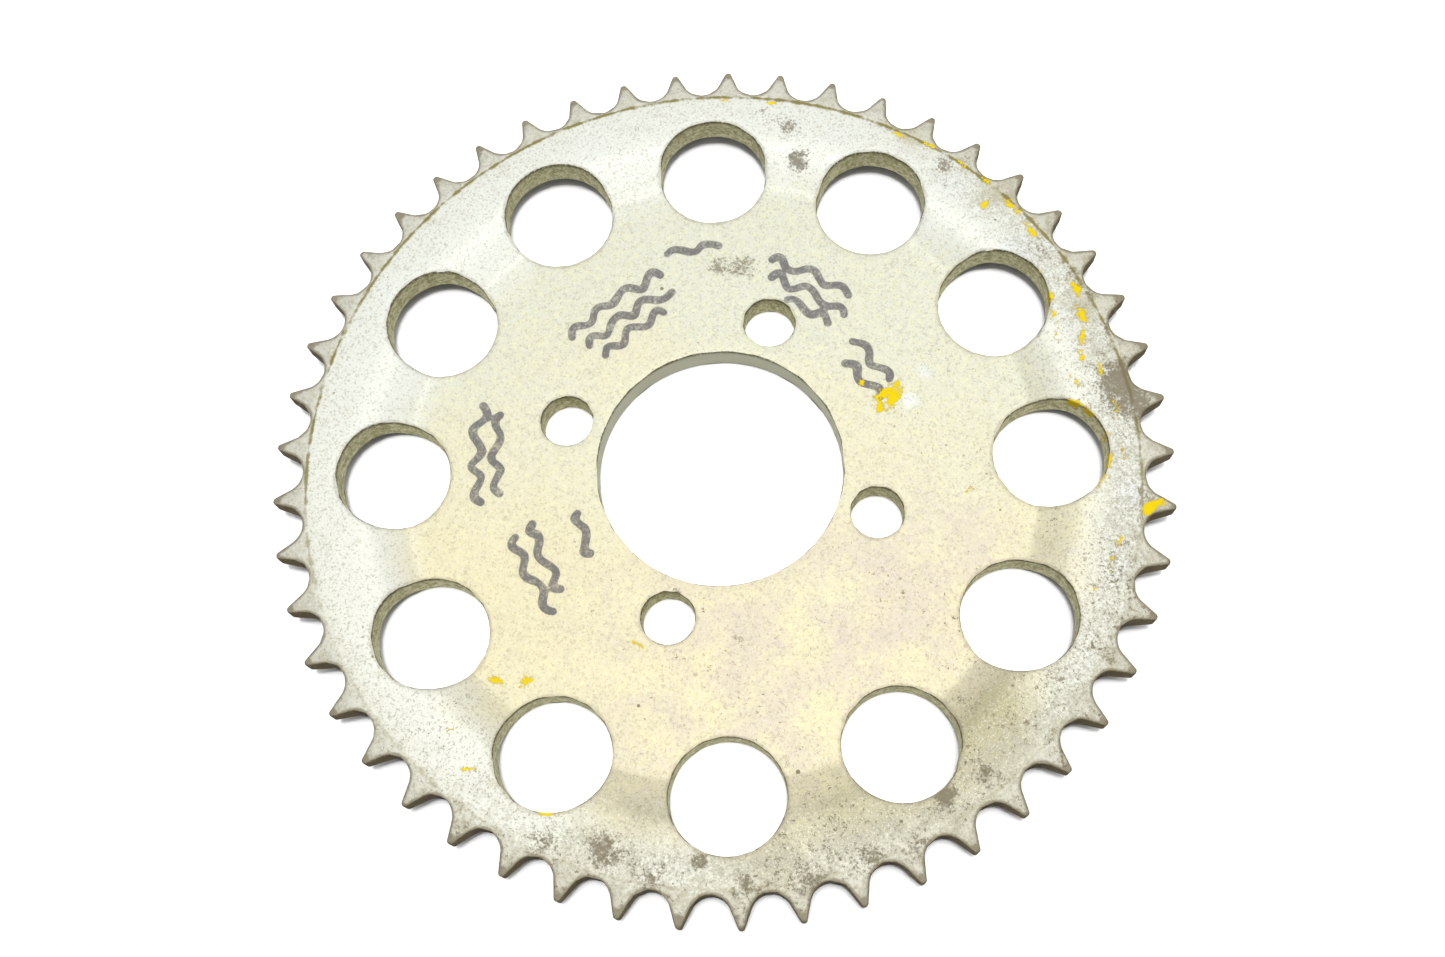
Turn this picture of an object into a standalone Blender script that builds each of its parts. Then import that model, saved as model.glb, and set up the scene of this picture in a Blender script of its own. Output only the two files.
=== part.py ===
"""Rear drive sprocket for a small motorcycle.

One pressed steel plate: a flat hub disc with a central bore and four bolt
holes, a narrow sloping band that lifts the outer ring, twelve lightening
holes around that band, and a rim of chain teeth relieved on both faces.

The origin is the centre of the bore on the hub disc's underside, which is
the face that meets the wheel hub. +Z is the sprocket's axis and points away
from the wheel. The first lightening hole lies on +Y. Clock angles below are
measured from +Y towards +X.
"""
import math

import bmesh
import bpy

MM = 0.001

# Chain: 12.7 mm pitch with 8.51 mm rollers.
CHAIN_PITCH = 12.7 * MM
ROLLER_DIAMETER = 8.51 * MM

# Rim
TOOTH_COUNT = 49
FIRST_TIP_CLOCK = math.radians(2.38)
PITCH_RADIUS = CHAIN_PITCH / (2 * math.sin(math.pi / TOOTH_COUNT))
ROOT_RADIUS = PITCH_RADIUS - ROLLER_DIAMETER / 2
TIP_RADIUS = 101.9 * MM
SEAT_RADIUS = 4.5 * MM
SEAT_HALF_ANGLE = math.radians(66)
SEAT_SEGMENTS = 8

# Plate and its dish
PLATE_THICKNESS = 7.0 * MM
DISH_OFFSET = 3.4 * MM
DISH_INNER_RADIUS = 71.5 * MM
DISH_OUTER_RADIUS = 80.0 * MM

# Side relief that thins each tooth towards its tip
RELIEF_INNER_RADIUS = 93.8 * MM
RELIEF_DEPTH = 1.55 * MM
RELIEF_STEPS = 3
RELIEF_CURVE = 0.4

# Holes
BORE_RADIUS = 28.1 * MM
BOLT_HOLE_RADIUS = 6.0 * MM
BOLT_CIRCLE_RADIUS = 37.1 * MM
BOLT_COUNT = 4
FIRST_BOLT_CLOCK = math.radians(19.3)
LIGHTENING_HOLE_RADIUS = 12.7 * MM
LIGHTENING_CIRCLE_RADIUS = 74.4 * MM
LIGHTENING_COUNT = 12

# Fineness of the faceted surfaces
BORE_SIDES = 96
BOLT_HOLE_SIDES = 32
LIGHTENING_HOLE_SIDES = 48
RING_SEGMENTS = 2 * TOOTH_COUNT
SHARP_EDGE_ANGLE = math.radians(30)

# Working allowances for the cutting tools
CUT_OVERRUN = 3.0 * MM
BLANK_MARGIN = 1.0 * MM


def clear_scene():
    for item in list(bpy.data.objects):
        bpy.data.objects.remove(item, do_unlink=True)


def at_clock(radius, clock):
    """The XY point at a radius and a clock angle."""
    return radius * math.sin(clock), radius * math.cos(clock)


def link_mesh(name, bm):
    """Turn a bmesh into a scene object with outward-facing faces."""
    bmesh.ops.recalc_face_normals(bm, faces=bm.faces)
    mesh = bpy.data.meshes.new(name)
    bm.to_mesh(mesh)
    bm.free()
    item = bpy.data.objects.new(name, mesh)
    bpy.context.scene.collection.objects.link(item)
    return item


def add_prism(bm, outline, bottom, top):
    """Extrude a closed XY outline from one height to another."""
    floor = [bm.verts.new((x, y, bottom)) for x, y in outline]
    base = bm.faces.new(floor)
    swept = bmesh.ops.extrude_face_region(bm, geom=[base])
    raised = [part for part in swept["geom"] if isinstance(part, bmesh.types.BMVert)]
    bmesh.ops.translate(bm, verts=raised, vec=(0, 0, top - bottom))


def plate_section():
    """The turned blank's closed radial section, as (radius, height) points."""
    blank_radius = TIP_RADIUS + BLANK_MARGIN
    blank_inner_radius = BORE_RADIUS - BLANK_MARGIN
    relief_span = TIP_RADIUS - RELIEF_INNER_RADIUS
    lower = [
        (blank_inner_radius, 0.0),
        (DISH_INNER_RADIUS, 0.0),
        (DISH_OUTER_RADIUS, DISH_OFFSET),
    ]
    upper = [(radius, height + PLATE_THICKNESS) for radius, height in lower]
    for step in range(RELIEF_STEPS + 1):
        fraction = step / RELIEF_STEPS
        radius = RELIEF_INNER_RADIUS + fraction * relief_span
        drop = RELIEF_DEPTH * fraction * (1 - RELIEF_CURVE + RELIEF_CURVE * fraction)
        lower.append((radius, DISH_OFFSET + drop))
        upper.append((radius, DISH_OFFSET + PLATE_THICKNESS - drop))
    lower.append((blank_radius, DISH_OFFSET + RELIEF_DEPTH))
    upper.append((blank_radius, DISH_OFFSET + PLATE_THICKNESS - RELIEF_DEPTH))
    return lower + upper[::-1]


def make_blank():
    """Revolve the section about Z into the dished, relieved ring."""
    section = plate_section()
    bm = bmesh.new()
    rings = []
    for segment in range(RING_SEGMENTS):
        clock = FIRST_TIP_CLOCK + segment * math.tau / RING_SEGMENTS
        rings.append([bm.verts.new((*at_clock(radius, clock), height)) for radius, height in section])
    for segment, ring in enumerate(rings):
        following = rings[(segment + 1) % RING_SEGMENTS]
        for index in range(len(section)):
            after = (index + 1) % len(section)
            bm.faces.new((ring[index], ring[after], following[after], following[index]))
    return link_mesh("sprocket_plate", bm)


def tooth_gap(middle_clock):
    """Points of one gap between teeth: flank, roller seat, flank."""
    half_pitch = math.pi / TOOTH_COUNT
    seat_centre = ROOT_RADIUS + SEAT_RADIUS
    seat = []
    for step in range(SEAT_SEGMENTS + 1):
        turn = SEAT_HALF_ANGLE * (2 * step / SEAT_SEGMENTS - 1)
        across = SEAT_RADIUS * math.sin(turn)
        out = seat_centre - SEAT_RADIUS * math.cos(turn)
        seat.append((math.hypot(across, out), math.atan2(across, out)))
    # The flanks leave the seat along its tangents and stop at the tip circle.
    end_radius, end_angle = seat[-1]
    across, out = end_radius * math.sin(end_angle), end_radius * math.cos(end_angle)
    slope_across, slope_out = math.cos(SEAT_HALF_ANGLE), math.sin(SEAT_HALF_ANGLE)
    along = across * slope_across + out * slope_out
    reach = math.sqrt(along ** 2 + TIP_RADIUS ** 2 - end_radius ** 2) - along
    tip_angle = math.atan2(across + reach * slope_across, out + reach * slope_out)
    if tip_angle >= half_pitch:
        raise ValueError("The flanks cross before the tip circle")
    polar = [(TIP_RADIUS, -tip_angle)] + seat + [(TIP_RADIUS, tip_angle)]
    return [at_clock(radius, middle_clock + angle) for radius, angle in polar]


def make_tooth_form():
    """A prism with the outline of the whole toothed rim."""
    outline = []
    for tooth in range(TOOTH_COUNT):
        outline += tooth_gap(FIRST_TIP_CLOCK + (tooth + 0.5) * math.tau / TOOTH_COUNT)
    bm = bmesh.new()
    add_prism(bm, outline, -CUT_OVERRUN, DISH_OFFSET + PLATE_THICKNESS + CUT_OVERRUN)
    return link_mesh("tooth_form", bm)


def circle_outline(centre, radius, sides):
    cx, cy = centre
    turns = [math.tau * side / sides for side in range(sides)]
    return [(cx + radius * math.cos(turn), cy + radius * math.sin(turn)) for turn in turns]


def make_hole_cutters():
    """All the holes through the plate, as one group of separate prisms."""
    holes = [((0.0, 0.0), BORE_RADIUS, BORE_SIDES)]
    for bolt in range(BOLT_COUNT):
        clock = FIRST_BOLT_CLOCK + bolt * math.tau / BOLT_COUNT
        holes.append((at_clock(BOLT_CIRCLE_RADIUS, clock), BOLT_HOLE_RADIUS, BOLT_HOLE_SIDES))
    for hole in range(LIGHTENING_COUNT):
        centre = at_clock(LIGHTENING_CIRCLE_RADIUS, hole * math.tau / LIGHTENING_COUNT)
        holes.append((centre, LIGHTENING_HOLE_RADIUS, LIGHTENING_HOLE_SIDES))
    top = DISH_OFFSET + PLATE_THICKNESS + CUT_OVERRUN
    bm = bmesh.new()
    for centre, radius, sides in holes:
        add_prism(bm, circle_outline(centre, radius, sides), -CUT_OVERRUN, top)
    return link_mesh("hole_cutters", bm)


def cut(target, tool, operation):
    """Combine two solids with an exact Boolean and drop the tool."""
    modifier = target.modifiers.new(tool.name, "BOOLEAN")
    modifier.operation = operation
    modifier.solver = "EXACT"
    modifier.object = tool
    evaluated = target.evaluated_get(bpy.context.evaluated_depsgraph_get())
    result = bpy.data.meshes.new_from_object(evaluated)
    target.modifiers.clear()
    target.data = result
    bpy.data.objects.remove(tool, do_unlink=True)


def plated_steel():
    """Steel with thin zinc plating and a pale yellow passivate."""
    material = bpy.data.materials.new("zinc_plated_steel")
    material.use_nodes = True
    shader = material.node_tree.nodes["Principled BSDF"]
    shader.inputs["Base Color"].default_value = (0.72, 0.70, 0.58, 1.0)
    shader.inputs["Metallic"].default_value = 0.85
    shader.inputs["Roughness"].default_value = 0.42
    return material


def build():
    clear_scene()
    plate = make_blank()
    cut(plate, make_tooth_form(), "INTERSECT")
    cut(plate, make_hole_cutters(), "DIFFERENCE")
    plate.data.materials.clear()
    plate.data.materials.append(plated_steel())
    plate.data.shade_smooth()
    plate.data.set_sharp_from_angle(angle=SHARP_EDGE_ANGLE)


build()
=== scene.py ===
"""Looks for the rear sprocket: a worn, zinc plated steel plate on a pale table.

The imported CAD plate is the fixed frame. One finer mesh stands for it, with
rounded and slightly ragged edges, a smooth pressed dish and worn teeth. Its
plating, grime, paint flecks and felt-pen marks are procedural.

Lengths are in metres and in the CAD's frame: +Z is the sprocket's axis, the
hub disc's underside is at zero, and the first lightening hole is on +Y.
Clock angles run from +Y towards +X.
"""

import math

import bpy
import numpy as np
from mathutils import Matrix, Vector, geometry, kdtree, noise


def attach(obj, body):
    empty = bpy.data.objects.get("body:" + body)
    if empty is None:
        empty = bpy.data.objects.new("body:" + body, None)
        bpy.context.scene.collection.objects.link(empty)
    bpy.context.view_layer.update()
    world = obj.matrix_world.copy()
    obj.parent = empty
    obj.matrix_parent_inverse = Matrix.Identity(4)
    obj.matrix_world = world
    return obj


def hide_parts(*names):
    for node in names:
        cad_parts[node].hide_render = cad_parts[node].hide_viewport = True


MM = 0.001

# The plate, as in the CAD
CHAIN_PITCH = 12.7 * MM
ROLLER_DIAMETER = 8.51 * MM
TOOTH_COUNT = 49
TOOTH_STEP = math.tau / TOOTH_COUNT
FIRST_TIP_CLOCK = math.radians(2.38)
ROOT_RADIUS = CHAIN_PITCH / (2 * math.sin(math.pi / TOOTH_COUNT)) - ROLLER_DIAMETER / 2
TIP_RADIUS = 101.9 * MM
SEAT_RADIUS = 4.5 * MM
SEAT_HALF_ANGLE = math.radians(66)
PLATE_THICKNESS = 7.0 * MM
DISH_OFFSET = 3.4 * MM
RELIEF_INNER_RADIUS = 93.8 * MM
RELIEF_DEPTH = 1.55 * MM
RELIEF_CURVE = 0.4
BORE_RADIUS = 28.1 * MM
BOLT_HOLE_RADIUS = 6.0 * MM
BOLT_CIRCLE_RADIUS = 37.1 * MM
BOLT_COUNT = 4
FIRST_BOLT_CLOCK = math.radians(19.3)
LIGHTENING_HOLE_RADIUS = 12.7 * MM
LIGHTENING_CIRCLE_RADIUS = 74.4 * MM
LIGHTENING_COUNT = 12

# The pressed bend's slope rises, holds and eases out between these radii.
BEND_RADII = [71.0 * MM, 72.2 * MM, 78.5 * MM, 83.5 * MM]
BEND_SLOPES = [0.0, 1.0, 1.0, 0.0]

# Wear and raggedness of the edges and faces. Each ragged pair is for an edge's rims and for its
# wall, and chips are CHIP_DEPTH times as deep as the rims are ragged.
TIP_WEAR = 0.28 * MM
TIP_LEAN = 0.08 * MM
WEAR_START_RADIUS = 98.5 * MM
WEAR_LENGTH = 3.4 * MM
FACE_DENT = 0.03 * MM
FACE_DENT_SIZE = 14 * MM
LOWER_BREAK = 0.20 * MM
LOWER_BREAK_SWING = 0.10 * MM
LOWER_BREAK_SIZE = 1.5 * MM
UPPER_BREAK = 0.24 * MM
CHIP_DEPTH = 2.6
CHIP_SIZE = 1.1 * MM
CHIP_GROUP_SIZE = 3.5 * MM
CHIP_GROUPING = 0.6
WALL_ROUGH_SIZE = 0.9 * MM
RIM_RAGGED = (0.05 * MM, 0.02 * MM)
BORE_RAGGED = (0.03 * MM, 0.008 * MM)
BOLT_HOLE_RAGGED = (0.04 * MM, 0.012 * MM)
LIGHTENING_HOLE_RAGGED = (0.14 * MM, 0.035 * MM)

# Fineness of the mesh. Points that aren't on an edge stay clear of it by a share of their step.
EDGE_STEP = 0.42 * MM
FACE_STEP = 1.4 * MM
MARK_STEP = 0.65 * MM
WALL_ROWS = 6
EDGE_ANGLES = [0.0, 30.0, 60.0, 90.0]
TIP_CORNER_RADIUS = 0.35 * MM
SEAT_POINTS = 24
BEND_STEP = 0.6 * MM
BEND_SAMPLES = 200
BORE_CLEARANCE = 0.8 * MM
BEND_CLEARANCE = 0.4 * MM
BEND_EXTRA = 2 * MM
RELIEF_CLEARANCE = 0.7 * MM
FACE_CLEARANCE = 0.5 * FACE_STEP
MARK_CLEARANCE = 0.7 * MARK_STEP
RINGS_STOP = 1.2 * MM
FINE_GRID_REACH = 1.0 * MM
LEAST_PAINT = 0.05
SAME_POINT = 1e-7

# At a corner an edge moves in further than on a straight, up to 1 / SHARPEST_CORNER times as far.
SHARPEST_CORNER = 0.6

# In mm: distances to a pen stroke or a rim count up to here.
FAR_AWAY = 3.0

# Felt-pen marks, without letters or figures. Each is a wavy line along an arc:
# (from clock, to clock in degrees, from radius, to radius in mm, swings, height in mm)
PEN_HALF_WIDTH = 0.95 * MM
PEN_SCRIBBLES = [
    (314, 344, 47.5, 50, 3.5, 3.4), (315, 346, 43, 45, 3.0, 3.0), (318, 342, 38.5, 40.5, 2.5, 3.2),
    (348, 361, 55, 55.5, 1.5, 2.2), (14, 36, 53, 51.5, 2.5, 3.0), (16, 39, 48.5, 47, 2.5, 3.4),
    (22, 38, 44, 43, 1.5, 2.6), (48, 64, 43, 44, 1.5, 3.0), (51, 68, 38, 40, 1.5, 3.0),
    (262, 287, 55, 57, 3.0, 3.0), (264, 285, 50.5, 52.5, 2.5, 2.8), (230, 252, 50, 49, 2.5, 3.2),
    (232, 255, 45.5, 44.5, 2.5, 3.0), (236, 253, 35.5, 34, 1.5, 2.8),
]
PEN_POINTS_PER_SWING = 20
PEN_LEAST_REACH = 0.45
PEN_DRIFT_DEGREES = 1.2
PEN_WIDTH_SWING = 0.3
PEN_WIDTH_SWING_SIZE = 4 * MM

# A fleck's paint is thicker the wider it is, and it reaches a little past its own outline.
PAINT_DEPTH = 1.15
PAINT_DEPTH_PER_WIDTH = 0.2
DEEPEST_PAINT = 1.75
PAINT_REACH = 1.25

# Yellow paint: (clock in degrees, radius in mm, length in mm, width in mm, turn in degrees)
PAINT_FLECKS = [
    (69, 43, 9.0, 4.2, 75), (67, 41, 6.0, 3.2, 30), (71, 39, 5.0, 2.4, 80), (60, 38, 2.6, 1.6, 60),
    (98, 97, 7.0, 2.6, 15), (99, 95, 4.0, 3.0, 70), (204, 45, 4.5, 1.2, 150), (222, 65, 4.6, 2.2, 30),
    (226, 69, 4.6, 2.2, 160), (231, 70, 3.4, 1.8, 115), (219, 87, 4.6, 1.5, 170), (206, 86, 8.0, 1.2, 5),
    (212, 74, 2.4, 0.9, 80), (29, 93, 5.5, 1.6, 152), (34, 94, 7.5, 1.1, 147), (39, 94, 6.5, 1.0, 142),
    (44, 94, 5.0, 1.0, 137), (49, 93, 6.5, 2.2, 132), (54, 92, 6.0, 2.2, 125), (46, 89, 4.0, 2.0, 40),
    (65, 92, 7.0, 2.0, 112), (69, 90, 6.0, 2.6, 108), (72, 88, 6.0, 1.6, 80), (75, 86, 6.0, 1.2, 75),
    (78, 89, 6.0, 1.2, 100), (84, 90, 6.0, 1.1, 95), (60, 86, 3.4, 1.6, 40), (79, 83, 5.0, 1.0, 130),
    (70, 83, 5.0, 1.0, 75), (64, 86, 5.0, 1.4, 90), (67, 84, 4.0, 1.3, 72), (82, 81, 5.0, 1.4, 152),
    (84, 84, 5.0, 1.3, 135), (92, 87, 5.0, 1.4, 74), (95, 85, 6.0, 1.5, 51), (91, 90, 4.0, 1.0, 90),
    (85, 80, 5.0, 1.0, 50), (88, 87, 3.0, 0.9, 90), (108, 89, 6.0, 1.3, 75), (104, 90, 3.6, 1.6, 60),
    (112, 87, 3.0, 0.9, 80), (92, 86, 3.0, 1.0, 90), (2, 93, 3.6, 1.2, 0), (9, 93, 3.4, 1.0, 170),
    (225, 83, 3.0, 1.0, 40), (146, 92, 2.4, 1.0, 20), (62, 76, 3.0, 1.0, 150), (98, 56, 2.6, 0.9, 30),
]

# How sharply a stain patch fades out from its middle
PATCH_FADE = 2.0

# Grime patches: (clock in degrees, radius in mm, size in mm, strength)
GRIME_PATCHES = [
    (15, 79, 4.5, 1.0), (12, 87, 5.0, 0.8), (8, 90, 4.0, 0.6), (8, 50, 5.0, 0.9), (1, 50, 3.5, 0.9),
    (37, 91, 3.5, 1.0), (80, 92, 9.0, 1.0), (84, 94, 7.0, 1.0), (72, 95, 5.0, 0.7), (149, 88, 5.0, 1.0),
    (143, 90, 6.0, 0.7), (153, 79, 8.0, 0.6), (184, 88, 3.0, 1.0), (178, 93, 4.0, 0.9), (190, 93, 5.0, 0.7),
    (197, 89, 7.0, 0.8), (97, 95, 5.0, 0.7), (137, 77, 8.0, 0.5), (205, 92, 7.0, 0.6), (66, 95, 5.0, 0.6),
    (40, 96, 5.0, 0.5), (170, 95, 8.0, 0.7), (162, 93, 7.0, 0.7), (215, 95, 7.0, 0.4), (176, 40, 4.0, 0.5),
    (118, 90, 6.0, 0.4), (240, 95, 7.0, 0.3), (25, 95, 5.0, 0.4), (310, 95, 6.0, 0.3), (155, 95, 7.0, 0.6),
    (57, 91, 5.0, 0.6), (62, 93, 5.0, 0.6), (90, 78, 4.0, 0.2), (199, 31, 3.0, 0.4), (120, 95, 6.0, 0.4),
]

# Broad olive film outside the crease, partly real tarnishing and partly painted shade of the bend: (clock
# in degrees, radius in mm, size in mm, strength)
TARNISH_AND_BEND_SHADE_PATCHES = [
    (138, 82, 20, 1.0), (46, 93, 7, 0.7), (30, 94, 6, 0.6), (68, 92, 7, 0.6), (150, 86, 18, 0.8),
    (162, 84, 18, 0.6), (178, 84, 20, 0.6), (195, 82, 18, 0.5), (120, 76, 14, 0.45), (212, 82, 14, 0.35),
    (105, 74, 8, 0.2), (62, 92, 10, 0.35), (78, 91, 12, 0.4), (172, 93, 12, 0.5), (200, 93, 12, 0.35),
]

# Bluish white wipes: (clock in degrees, radius in mm, size in mm, strength)
WIPED_PATCHES = [
    (55, 86, 9, 0.8), (40, 88, 9, 0.6), (20, 88, 10, 0.5), (97, 92, 7, 0.9), (108, 92, 8, 0.7),
    (122, 92, 8, 0.6), (133, 94, 7, 0.6), (146, 95, 4, 0.7), (72, 46, 4, 0.8), (66, 52, 5, 0.6),
    (340, 88, 12, 0.5), (300, 88, 14, 0.5), (265, 88, 12, 0.4), (235, 90, 10, 0.3),
]

# Colours, linear
FAR_PLATING_AND_REFLECTION = (0.385, 0.392, 0.325)
NEAR_PLATING_AND_REFLECTION = (0.43, 0.395, 0.262)
LILAC_PLATING = (0.39, 0.33, 0.305)
YELLOW_CELLS = (0.49, 0.46, 0.25)
NEAR_SIDE_PAINTED_SHADE = (0.355, 0.335, 0.235)
RING_PLATING_AND_SHEEN = (0.435, 0.45, 0.415)
RING_PLATING_AND_SHEEN_PALER = (0.46, 0.47, 0.44)
WIPED_PLATING = (0.47, 0.50, 0.52)
OLIVE_FILM_AND_BEND_SHADE = (0.27, 0.25, 0.15)
GREY_MOTTLE = (0.30, 0.29, 0.21)
RIM_SOIL = (0.26, 0.255, 0.205)
LIGHT_GRAIN = (0.56, 0.57, 0.53)
DARK_GRAIN = (0.20, 0.19, 0.13)
TOOTH_FACE = (0.385, 0.375, 0.31)
TOOTH_FACE_DARKER = (0.27, 0.255, 0.18)
TOOTH_TIP = (0.085, 0.065, 0.045)
RELIEF_LINE = (0.145, 0.125, 0.035)
WALL_PITS = (0.31, 0.29, 0.155)
WALL_STEEL = (0.61, 0.595, 0.385)
BORE_WALL = (0.45, 0.45, 0.34)
ROOT_WALL_GRIME_AND_SHADE = (0.03, 0.02, 0.01)
FLANK_WALL = (0.095, 0.072, 0.03)
FLANK_WALL_PALER = (0.15, 0.12, 0.055)
EDGE_STAIN = (0.13, 0.105, 0.055)
EDGE_LINE = (0.085, 0.07, 0.03)
UNDERSIDE_SHADE = (0.13, 0.12, 0.085)
UNDERSIDE_GRIME_AND_SHADE = (0.07, 0.06, 0.04)
INK = (0.095, 0.09, 0.092)
DIRT = (0.12, 0.10, 0.06)
PAINT = (0.50, 0.37, 0.0)
TABLE = (0.78, 0.78, 0.785)
TABLE_PALER = (0.80, 0.80, 0.80)

# Where the layers of the plating begin and end, as radii in mm
FILM_AND_SHADE_STARTS = (71.2, 72.6)
FILM_AND_SHADE_THICKENS = (74.0, 80.0)
RING_STARTS = (69.0, 84.0)
SOIL_STARTS = (81.0, 91.0)
GRAIN_ROUGHENS = (60.0, 90.0)
SPECKS_GATHER = (70.0, 95.0)
NEAR_TEETH_START = (89.0, 98.0)
FAR_TEETH_START = (93.6, 94.6)
TIPS_START = (101.0, 101.8)
RELIEF_LINE_RADIUS = 93.9
BORE_WALL_ENDS = (29.5, 28.6)
EDGE_STAIN_STARTS = (30.0, 35.0)
EDGE_STAIN_THICKENS = (92.0, 95.0)
FLANKS_START = (92.0, 93.0)
FLANKS_PALER = (94.8, 98.0)

# Metal and its covered places: dirt, ink, paint and the rough walls
METALLIC = 0.50
ROUGHNESS = 0.56
GRAIN_ROUGHNESS = 0.16
COVERED_ROUGHNESS = 0.20
COVERED_SPECULAR_LOSS = 0.38

# Stage. Power is in watts, and the lens and sensor are in mm.
TABLE_HALF_SIZE = 1.6
TABLE_DROP = 0.05 * MM
TABLE_ROUGHNESS = 0.6
SOFTBOX_PLACE = (0.30, 0.25, 1.2)
SOFTBOX_SIZE = 0.7
SOFTBOX_POWER = 2.0
SOFTBOX_COLOUR = (1.0, 0.99, 0.97)
CAMERA_PLACE = (12.84 * MM, -119.64 * MM, 350.0 * MM)
CAMERA_TARGET = (0.48 * MM, -3.10 * MM, 7.0 * MM)
CAMERA_ROLL = math.radians(-7.727)
CAMERA_LENS = 39.89
CAMERA_SENSOR = 36.0
CAMERA_NEAREST = 0.01

# Studio light: soft patches on a dim white room, as (direction, outer and inner edge in degrees
# from it, strength). The first is the key light, the second a broad panel behind the plate.
ROOM_DIM = 0.22
ROOM_LIGHTS = [
    ((0.0, -0.01, 0.99), 8, 4, 84.0),
    ((0.02, 0.36, 0.93), 52, 22, 1.6),
]

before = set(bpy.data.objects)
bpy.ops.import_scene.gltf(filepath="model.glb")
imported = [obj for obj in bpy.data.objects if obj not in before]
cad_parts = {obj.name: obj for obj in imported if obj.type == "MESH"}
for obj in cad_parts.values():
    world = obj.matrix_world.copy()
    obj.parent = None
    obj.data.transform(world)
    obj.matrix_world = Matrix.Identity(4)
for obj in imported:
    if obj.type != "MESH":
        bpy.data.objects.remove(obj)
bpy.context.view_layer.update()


# ---------------------------------------------------------------- the plate's form

def at_clock(radius, clock):
    """XY points at a radius and a clock angle."""
    return np.stack([radius * np.sin(clock), radius * np.cos(clock)], axis=-1)


def wobble(points, size, seed):
    """Smooth noise from -1 to 1 at each XY point, with features of about that size."""
    return np.array([noise.noise(Vector((x / size, y / size, seed))) for x, y in points])


def dish_height(radius):
    """How far the pressed bend lifts the plate at a radius."""
    fine = np.linspace(BEND_RADII[0], BEND_RADII[-1], BEND_SAMPLES)
    slope = np.interp(fine, BEND_RADII, BEND_SLOPES)
    rise = np.concatenate([[0.0], np.cumsum((slope[1:] + slope[:-1]) / 2)])
    return DISH_OFFSET * np.interp(radius, fine, rise / rise[-1])


def relief_depth(radius):
    """How far each face is cut away towards the tooth tips."""
    fraction = np.clip((radius - RELIEF_INNER_RADIUS) / (TIP_RADIUS - RELIEF_INNER_RADIUS), 0, 1)
    return RELIEF_DEPTH * fraction * (1 - RELIEF_CURVE + RELIEF_CURVE * fraction)


def underside(points):
    """Height of the lower face at each XY point."""
    radius = np.hypot(points[:, 0], points[:, 1])
    return dish_height(radius) + relief_depth(radius)


def top_side(points):
    """Height of the upper face at each XY point, with shallow dents."""
    radius = np.hypot(points[:, 0], points[:, 1])
    dent = FACE_DENT * (1 + wobble(points, FACE_DENT_SIZE, 3.0))
    return PLATE_THICKNESS + dish_height(radius) - relief_depth(radius) - dent


def resample(points, step):
    """Even points along a closed polyline."""
    closed = np.vstack([points, points[:1]])
    length = np.concatenate([[0], np.cumsum(np.hypot(*np.diff(closed, axis=0).T))])
    wanted = np.linspace(0, length[-1], round(length[-1] / step), endpoint=False)
    return np.stack([np.interp(wanted, length, closed[:, axis]) for axis in (0, 1)], axis=-1)


def tooth_profile():
    """One tooth from gap middle to gap middle: (across, out) points about the tooth's own axis."""
    seat_centre = ROOT_RADIUS + SEAT_RADIUS
    turns = np.linspace(0, SEAT_HALF_ANGLE, SEAT_POINTS)
    across = SEAT_RADIUS * np.sin(turns)
    out = seat_centre - SEAT_RADIUS * np.cos(turns)
    slope = np.array([math.cos(SEAT_HALF_ANGLE), math.sin(SEAT_HALF_ANGLE)])
    start = np.array([across[-1], out[-1]])
    along = start @ slope
    reach = math.sqrt(along ** 2 + TIP_RADIUS ** 2 - start @ start) - along
    gap_side = np.vstack([np.stack([across, out], axis=-1), start + reach * slope])
    # Turn the gap's half profile into the tooth's, half a tooth step away.
    half = TOOTH_STEP / 2
    turned = gap_side @ np.array([[math.cos(half), math.sin(half)], [-math.sin(half), math.cos(half)]])
    corner, before = turned[-1], turned[-2]
    back = (before - corner) / np.linalg.norm(before - corner)
    land = np.array([-np.sign(corner[0]), 0.0])
    rounded = [corner + back * TIP_CORNER_RADIUS,
               corner + (back + land) * TIP_CORNER_RADIUS * 0.3,
               corner + land * TIP_CORNER_RADIUS]
    left = np.vstack([turned[:-1], rounded])
    return left if left[0][0] < 0 else left * np.array([-1, 1])


def rim_outline():
    """The whole toothed rim, anticlockwise, with each tip worn by its own small amount."""
    left = tooth_profile()
    profile = np.vstack([left, left[::-1] * np.array([-1, 1])])
    rng = np.random.default_rng(5)
    teeth = []
    for tooth in range(TOOTH_COUNT):
        clock = FIRST_TIP_CLOCK + tooth * TOOTH_STEP
        across, out = profile.T
        near_tip = np.clip((out - WEAR_START_RADIUS) / WEAR_LENGTH, 0, 1)
        worn = rng.uniform(0.0, TIP_WEAR) * near_tip ** 2
        lean = rng.uniform(-TIP_LEAN, TIP_LEAN) * near_tip
        across, out = across + lean, out - worn
        east = np.array([math.cos(clock), -math.sin(clock)])
        north = np.array([math.sin(clock), math.cos(clock)])
        teeth.append(across[:, None] * east + out[:, None] * north)
    return resample(np.vstack(teeth)[::-1], EDGE_STEP)


def hole_outline(centre, radius):
    """A hole's edge, clockwise, so that the steel lies on its left."""
    sides = round(math.tau * radius / EDGE_STEP)
    turns = -np.arange(sides) * math.tau / sides
    return centre + radius * np.stack([np.cos(turns), np.sin(turns)], axis=-1)


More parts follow.
